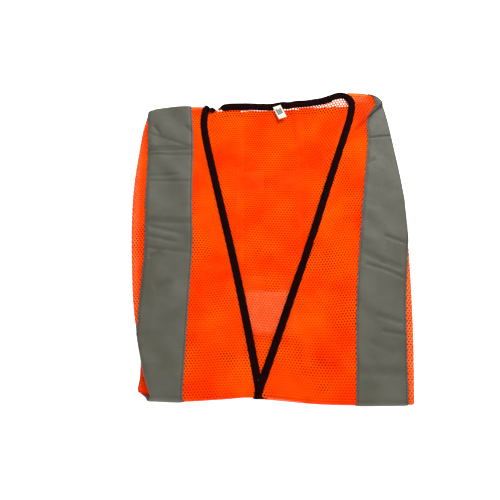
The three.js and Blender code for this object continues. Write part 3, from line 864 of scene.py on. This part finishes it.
def woven(name, dark, light, roughness, threads, depth, specular):
    """Twill of the bindings: slanting ribs across the strip, uneven in tone."""
    r = Recipe(name, roughness, specular)
    flat = r.flat()
    ribs = r.wave(r.flat((1, 1, 1), 38), threads, "X")
    yarn = r.noise(r.flat((1, 3, 1), 38), 3.0, 2.0)
    tone = r.times(r.span(r.noise(flat, 0.12, 3.0), 0.3, 0.7), 0.6)
    base = r.mix(r.plus(tone, r.times(ribs, 0.4)), dark, light)
    height = r.plus(ribs, r.times(yarn, 0.5))
    return r.finish(base, height, depth, r.span(yarn, 0.3, 0.7, roughness - 0.06, roughness + 0.06))


def label_cloth(name, dark, light):
    """Satin label: fine lengthwise threads."""
    r = Recipe(name, 0.6, 0.3)
    flat = r.flat()
    threads = r.wave(flat, 0.9, "X")
    tone = r.span(r.noise(flat, 0.2, 3.0), 0.3, 0.7)
    return r.finish(r.mix(tone, dark, light), threads, 0.03, r.span(threads, 0, 1, 0.55, 0.66))


def ribbed_elastic():
    """Elastic webbing: ribs along the band and fine cross threads."""
    r = Recipe("orange_elastic", 0.7, 0.2)
    flat = r.flat()
    ribs = r.wave(flat, 0.22, "Y")
    threads = r.wave(flat, 0.8, "X")
    base = r.mix(ribs, rgb(0.55, 0.022, 0.001), rgb(0.9, 0.06, 0.003))
    height = r.plus(ribs, r.times(threads, 0.3))
    return r.finish(base, height, 0.2, r.span(threads, 0, 1, 0.66, 0.76))


def pile():
    """Hook and loop tape: a dense pile."""
    r = Recipe("hook_and_loop", 0.9, 0.15)
    flat = r.flat()
    tufts = r.add("TexVoronoi", {"Vector": flat, "Scale": 1.3}).outputs["Distance"]
    base = r.mix(tufts, rgb(0.02, 0.016, 0.013), rgb(0.006, 0.005, 0.004))
    height = r.math("SUBTRACT", 1.0, tufts)
    return r.finish(base, height, 0.3, r.span(r.noise(flat, 2.0), 0.3, 0.7, 0.82, 0.95))


def thread(name, colour, specular=0.2):
    """Sewing thread."""
    r = Recipe(name, 0.6, specular)
    twist = r.noise(r.add("TexCoord").outputs["Object"], 4000.0, 1.0)
    return r.finish(r.mix(r.times(twist, 0.6), colour, rgb(0.005, 0.004, 0.003)), twist, 0.05)


orange = mesh_cloth()
silver = reflective()
black = woven("black_binding", rgb(0.002, 0.0004, 0.0004), rgb(0.009, 0.0012, 0.001), 0.8, 0.5, 0.09, 0.02)
orange_trim = woven("orange_binding", rgb(0.8, 0.03, 0.001), rgb(1.0, 0.075, 0.002), 0.8, 0.5, 0.09, 0.08)
white = label_cloth("white_label", rgb(0.56, 0.52, 0.41), rgb(0.68, 0.64, 0.53))
# painted shade and orange light: the white care label is coloured as it looks under the orange mesh
care_label_shaded = label_cloth("care_label_cloth", rgb(0.50, 0.036, 0.008), rgb(0.58, 0.050, 0.012))
ink = label_cloth("label_print", rgb(0.035, 0.045, 0.045), rgb(0.07, 0.08, 0.08))
elastic = ribbed_elastic()
closure = pile()
grey_thread = thread("grey_thread", rgb(0.012, 0.011, 0.009))
black_thread = thread("black_thread", rgb(0.003, 0.001, 0.001), 0.0)
orange_thread = thread("orange_thread", rgb(0.75, 0.03, 0.002))

# ---- cloths

ROWS = np.concatenate([np.linspace(0, UPPER, 60), np.linspace(UPPER, UPPER + ROUND, 16)[1:],
                       np.linspace(UPPER + ROUND, LENGTH, 56)[1:]])
EDGE_COVER = 3.0  # a cloth ends this far beyond the middle of its binding
SHOULDER_TURN = -1.3  # the fronts' cloth goes this far over the shoulder seam
SEAM_ALLOWANCE = 2.5  # its folded edge, without holes, reaches this far down
SEAM_DEPTH = 0.15  # and lies this much below the mesh's face


def front_inside(cloth, side, edge):
    """Tells which flat places a front's open mesh covers: from its edge to its flap."""
    def inside(x, v):
        start, arc = side_start(cloth, side, v)
        return (side * x < start + arc) & (side * (x - edge(v)) > -EDGE_COVER)
    return inside


def back_inside(x, v):
    """Tells which flat places the back's open mesh covers: all between its flaps."""
    start, _, _, arc = side_bend(back, x, v)
    return np.abs(x) < start + arc


def front_cloth(name, cloth, side, edge, flap, x_range):
    """A front: open mesh, a plain folded edge at the shoulder seam and a plain flap."""
    seam = np.linspace(SHOULDER_TURN, SEAM_ALLOWANCE, 8)
    start, _ = side_start(cloth, side, seam)
    parts = [net(front_inside(cloth, side, edge), x_range, (SHOULDER_TURN, LENGTH)),
             plain(edge(seam), side * start, seam, 40, -SEAM_DEPTH), flap_part(cloth, side, flap, ROWS)]
    return cloth_piece(name, cloth, parts)


def back_cloth():
    """The back: open mesh in the upper half, and plain cloth where the fold hides it."""
    low = ROWS[ROWS >= UPPER - 4]
    (start_left, _), (start_right, _) = side_start(back, -1, low), side_start(back, 1, low)
    parts = [net(back_inside, (-165, 165), (0, UPPER + 4), BACK_SKEW, BACK_STRETCH),
             plain(-start_left - 4, start_right + 4, low, 60, -RELIEF - 0.1)]
    parts += [flap_part(back, side, flap, ROWS) for side, flap in ((-1, left_flap), (1, right_flap))]
    return cloth_piece("back_cloth", back, parts, over_label=True)


def cut_area(cloth, side, edge, flap):
    """Flat area of one side of a cloth, from its edge (or the middle line) to its flap's edge."""
    width = np.abs(flap_end(cloth, side, flap, ROWS) - edge(ROWS))
    return float(np.sum((width[1:] + width[:-1]) / 2 * np.diff(ROWS))) * MM * MM, float(width.max()) * MM


def follow(piece, body, slot, *nodes):
    """The piece stands for CAD nodes and follows a body. With no body named, its transform is baked
    into its points."""
    if body:
        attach(piece, body)
    else:
        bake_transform(piece)
    if nodes:
        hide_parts(*nodes)


CUTS = {
    "left_front": (left_front, -1, left_edge, left_flap),
    "right_front": (right_front, 1, right_edge, right_flap),
}
SIDES = [  # key, cloth, side, tape's edge, flap's edge
    ("left_front", left_front, -1, left_tape, left_flap),
    ("right_front", right_front, 1, right_tape, right_flap),
    ("back", back, -1, left_tape, left_flap),
    ("back", back, 1, right_tape, right_flap),
]
on_cloth = {"left_front": [], "right_front": [], "back": []}  # the smaller pieces on each cloth

cloths = {
    "left_front": front_cloth("left_front_cloth", *CUTS["left_front"], (-165, 20)),
    "right_front": front_cloth("right_front_cloth", *CUTS["right_front"], (-25, 165)),
    "back": back_cloth(),
}
for key, piece in cloths.items():
    follow(piece, None, "orange_mesh", f"{key}_panel", f"{key}_skirt")

# ---- tapes

HEM_CLEAR = BINDING_WIDTH / 2 + 0.5  # tapes and edge bindings end this far above the cloth's end
FRONT_TAPE_START = -1.3  # a front's tape goes over the shoulder seam, to meet the back's tape
BACK_TAPE_START = 0.3


def side_of(side, cloth):
    """The side and the layer as they stand in the names of CAD nodes and pieces."""
    return ("left" if side < 0 else "right") + ("_back" if cloth is back else "_front")


def add_tape(cloth, side, edge, creases):
    """The tape on one side (1 right, -1 left) of a cloth, from the shoulder to the hem binding."""
    name = side_of(side, cloth)
    start, outer_face = (BACK_TAPE_START, -1) if cloth is back else (FRONT_TAPE_START, 1)
    v_range = (start, LENGTH - HEM_CLEAR)
    piece, seams = tape(name + "_reflective", cloth, edge, side, outer_face, v_range, creases)
    follow(piece, None, "reflective_tape", name + "_tape", name + "_lower_tape")
    follow(seams, None, "reflective_tape")


for (key, cloth, side, tape_edge, _), creases in zip(SIDES, (LEFT_TAPE_CREASES, RIGHT_TAPE_CREASES, [], [])):
    add_tape(cloth, side, tape_edge, creases)

# ---- bindings

STITCH_INSET = 2.4  # from a binding's middle to its row of stitches
NECK_WIDTH, NECK_TAPER = 9.4, 9.0  # the back neck's binding narrows to a point over this length


def add_binding(key, name, cloth, x, v, look, nodes, inner, body=None, **shape):
    """A binding and its row of stitches, inner (1 or -1) telling which side of it the row is on."""
    piece = binding(name, cloth, x, v, look, **shape)
    _, _, _, sideways = directions(cloth, x, v)
    row_x = x + inner * STITCH_INSET * sideways[:, 0]
    row_v = v - inner * STITCH_INSET * sideways[:, 1]
    lift = shape.get("lift", 0.0) + shape.get("thickness", BINDING) * 0.44 - THREAD * 0.1
    strand, slot = (black_thread, "black_binding") if look is black else (orange_thread, "orange_binding")
    seam = stitches(name + "_stitches", [(cloth, row_x, row_v, lift)], strand)
    follow(piece, body, slot, *nodes)
    follow(seam, body, slot)
    on_cloth[key] += [piece, seam]


def add_front_edge(side_name, cloth, loop, edge, from_v, least_v, drop, fade):
    """The binding of a front, from its loop at the neck, given in plan, down its edge to the hem. The
    loop starts drop below its cloth, and rises to it between two shares of its length, fade."""
    loop_x, loop_v = unfolded(loop)
    v = np.arange(from_v, LENGTH - HEM_CLEAR, 2.2)
    lift = np.zeros(len(loop_x) + len(v))
    lift[:len(loop_x)] = -drop * (1 - smooth(*fade, np.linspace(0, 1, len(loop_x))))
    add_binding(side_name + "_front", side_name + "_front_edge", cloth,
                np.concatenate([loop_x, edge(v)]), np.concatenate([np.maximum(loop_v, least_v), v]), black,
                (side_name + "_front_binding", side_name + "_edge_binding"), -1, lift=lift)


LEFT_HOOK = [(-61, 150.5), (-64, 155), (-67.3, 156.8), (-69.6, 154.5)]
RIGHT_LOOP = [(70, 168), (76, 171), (83, 173), (89.8, 171), (94.6, 165.5), (96, 160)]
add_front_edge("left", left_front, LEFT_HOOK, left_edge, 5, -1, 2.2, (0.1, 0.75))
add_front_edge("right", right_front, RIGHT_LOOP, right_edge, 13, 0.3, 0.7, (0.2, 0.9))
neck_x, neck_v = unfolded(BACK_NECK)
add_binding("back", "back_neck_edge", back, neck_x, neck_v, black, ("back_neck_binding",), -1,
            body="upper_half", width=NECK_WIDTH, taper=NECK_TAPER)

for key, cloth, side, _, flap in SIDES:  # the binding of each armhole and the side edge below it
    name = side_of(side, cloth)
    v = np.arange(1.0, LENGTH - HEM_CLEAR, 2.5)
    add_binding(key, name + "_side_edge", cloth, flap_end(cloth, side, flap, v), v, orange_trim,
                (name + "_armhole_binding", name + "_side_binding"), side, thickness=FLAP_BINDING)

hem = np.array([LENGTH])
left_end, right_end, back_left_end, back_right_end = (
    flap_end(cloth, side, flap, hem)[0] for _, cloth, side, _, flap in SIDES)
for key, cloth, from_x, to_x in (("left_front", left_front, left_end, LEFT_EDGE[0][0]),
                                 ("right_front", right_front, RIGHT_EDGE[0][0], right_end),
                                 ("back", back, back_left_end, back_right_end)):
    x = np.linspace(from_x, to_x, int(abs(to_x - from_x) / 1.5))
    add_binding(key, key + "_hem_edge", cloth, x, np.full_like(x, LENGTH), black,
                (key + "_hem_binding",), 1, body="lower_half")

# ---- shoulder seams

SEAM_V, SEAM_WIDTH, SEAM_LIFT = 2.2, 2.6, 0.65  # the rolled allowance on the back's upper face

for side_name, from_x, to_x in (("left", -134, -77), ("right", 98, 129)):
    x = np.linspace(from_x, to_x, 40)
    seam = binding(side_name + "_shoulder_seam_roll", back, x, np.full_like(x, SEAM_V), orange_trim,
                   width=SEAM_WIDTH, lift=SEAM_LIFT)
    follow(seam, "upper_half", "orange_mesh", side_name + "_shoulder_seam")
    on_cloth["back"].append(seam)

# ---- labels

CARE_DROP = 0.7  # the care label's middle lies this far below the back's cloth


def care_surface(x, y, height):
    """The care label hangs under the back panel. height is measured downwards from its middle."""
    return place(back, x, upper_v(x, y + PLAN_Y), -CARE_DROP - height)


x0, y0, x1, y1 = CARE_LABEL
care_x, care_y = np.meshgrid(np.linspace(x0, x1, 24), np.linspace(y1, y0, 20))
care = label("care_label_sheet", care_surface(care_x, care_y, 0), care_label_shaded)
care_bars = bars("care_label_bars", care_surface, [
    (x0 + 6, x1 - 6 - 9 * (i % 3), y1 - 8 - 4.2 * i, y1 - 6.4 - 4.2 * i) for i in range(8)], ink, 0.16)
follow(care, "upper_half", "white_label", "care_label")
follow(care_bars, "upper_half", "white_label")

label_seam = np.array(JOINTS["size_label_flip"]["pos_m"]) / MM


def size_surface(a, b, height):
    """The size label, a across and b down from its sewn edge, curling up a little at its end."""
    c, s = math.cos(SIZE_LABEL_TILT), math.sin(SIZE_LABEL_TILT)
    share = b / SIZE_LABEL[1]
    rise = 0.25 + 0.9 * smooth(0.15, 1.0, share) + 0.25 * (a / SIZE_LABEL[0]) ** 2
    x = label_seam[0] + a * c + b * s
    y = label_seam[1] + a * s - b * c
    over = np.maximum(wrinkles(x, y), 0) * smooth(0.1, 0.5, share)
    return stacked(x, y, label_seam[2] + rise + over + height)


half = SIZE_LABEL[0] / 2
size_a, size_b = np.meshgrid(np.linspace(-half, half, 10), np.linspace(0, SIZE_LABEL[1], 20))
size_tag = label("size_label_tag", size_surface(size_a, size_b, 0), white, 0.3)
MARKS = [(-3.1 + 2.2 * i, -1.4 + 2.2 * i, 3.6 + (i % 2), 12.4 - 0.7 * (i % 3)) for i in range(3)]
MARKS += [(-3.1, 3.1, 5.4 + 2.4 * i, 6.4 + 2.4 * i) for i in range(3)]
size_bars = bars("size_label_bars", size_surface, MARKS, ink, 0.19)
follow(size_tag, "size_label", "white_label", "size_label")
follow(size_bars, "size_label", "white_label")
on_cloth["back"] += [size_tag, size_bars]

# ---- side straps and closure patches

def box_mm(node):
    """Two opposite corners of a CAD node's box, in millimetres."""
    return [np.array(corner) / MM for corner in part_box(node)]


def strap_path(low, high, direction):
    """Path in x and z of a strap folded in half, whose fold points towards direction (1 or -1)."""
    open_x = low[0] if direction > 0 else high[0]
    turn_x = open_x + direction * (high[0] - low[0] - 1.0)
    radius = (high[2] - low[2] - STRAP) / 2
    angle = np.linspace(-math.pi / 2, math.pi / 2, 11)
    bend = stacked(turn_x - direction * radius + direction * radius * np.cos(angle),
                   (low[2] + high[2]) / 2 + radius * np.sin(angle))
    leg = np.linspace(open_x, bend[0, 0], 16)[:-1]
    return np.vstack([stacked(leg, bend[0, 1]), bend, stacked(leg[::-1], bend[-1, 1])])


def add_strap(side_name, direction, node):
    """An elastic strap that joins a front to the back, folded in half between them."""
    low, high = box_mm(node)
    path = strap_path(low, high, direction)
    strap = band(node + "_loop", path, (low[1], high[1]), STRAP, elastic)
    follow(strap, "lower_half", "orange_elastic", node)
    on_cloth[side_name + "_front"].append(strap)


def add_patch(side_name, node):
    """A patch of pile: a slightly uneven sheet in the middle of its node's box."""
    low, high = box_mm(node)
    x, y = np.meshgrid(np.linspace(low[0], high[0], 30), np.linspace(low[1], high[1], 90))
    z = (low[2] + high[2]) / 2 + 0.05 * bristle(x / 0.9, y / 0.9)
    patch = label(node + "_pile", stacked(x, y, z), closure, 0.26)
    follow(patch, "lower_half", "hook_and_loop", node)
    on_cloth[side_name + "_front"].append(patch)


bristle = Noise(SEED + 5)
for side_name, direction in (("left", 1), ("right", -1)):
    for number in (1, 2):
        add_strap(side_name, direction, f"{side_name}_side_strap_{number}")
for side_name, kind in (("left", "hook"), ("right", "loop")):
    for number in (1, 2):
        add_patch(side_name, f"{kind}_patch_{number}")

# ---- the cloths' flat sizes

for key, (cloth, side, edge, flap) in CUTS.items():
    area, width = cut_area(cloth, side, edge, flap)
halves = [cut_area(back, side, np.zeros_like, flap) for side, flap in ((-1, left_flap), (1, right_flap))]

# ---- floor, light, camera

FLOOR_REACH = 6000  # half the floor's side, in millimetres
GLOW = 0.8  # the floor's own light keeps it as white as the photo's ground
SKY = 0.58  # strength of the white surroundings
LIGHTS = {  # place in metres, size in metres and power in watts
    "key": ((0.42, 1.05, 0.9), 0.4, 31),
    "fill": ((-0.2, -1.1, 0.5), 0.8, 10),
}
LENS, SENSOR = 50, 36  # millimetres
TARGET = (-19.9, -19.6, FOLD_Z + FRONT)  # the camera looks at this point, in millimetres
DISTANCE, ELEVATION = 0.723, 68  # from there, in metres, and degrees above the floor


def area_light(name, location, size, power):
    """A square lamp that shines on the origin."""
    data = bpy.data.lights.new(name, "AREA")
    data.size, data.energy = size, power
    lamp = bpy.data.objects.new(name, data)
    lamp.location = location
    lamp.rotation_euler = (-Vector(location)).to_track_quat("-Z", "Y").to_euler()
    bpy.context.scene.collection.objects.link(lamp)


def stage():
    """The white floor and surroundings, and the lamps."""
    r = Recipe("floor", 0.9)
    r.fill(r.shader, {"Base Color": rgb(0.92, 0.92, 0.92), "Emission Color": rgb(1, 1, 1),
                      "Emission Strength": GLOW})
    corners = [(x * FLOOR_REACH, y * FLOOR_REACH, 0) for x, y in ((-1, -1), (1, -1), (1, 1), (-1, 1))]
    new_mesh("floor", corners, [(0, 1, 2, 3)], r.material)
    world = bpy.data.worlds.new("studio")
    world.use_nodes = True
    inputs = world.node_tree.nodes["Background"].inputs
    inputs["Color"].default_value, inputs["Strength"].default_value = rgb(1, 1, 1), SKY
    bpy.context.scene.world = world
    for name, lamp in LIGHTS.items():
        area_light(name, *lamp)
    bpy.context.scene.view_settings.view_transform = "Standard"


def camera():
    """The photo's view, from above and a little from the bottom fold's side."""
    data = bpy.data.cameras.new("camera")
    data.lens, data.sensor_width = LENS, SENSOR
    eye = bpy.data.objects.new("camera", data)
    elevation = math.radians(ELEVATION)
    back_up = Vector((0, -math.cos(elevation), math.sin(elevation)))
    eye.location = Vector(TARGET) * MM + back_up * DISTANCE
    eye.rotation_euler = (-back_up).to_track_quat("-Z", "Y").to_euler()
    bpy.context.scene.collection.objects.link(eye)
    bpy.context.scene.camera = eye


stage()
camera()
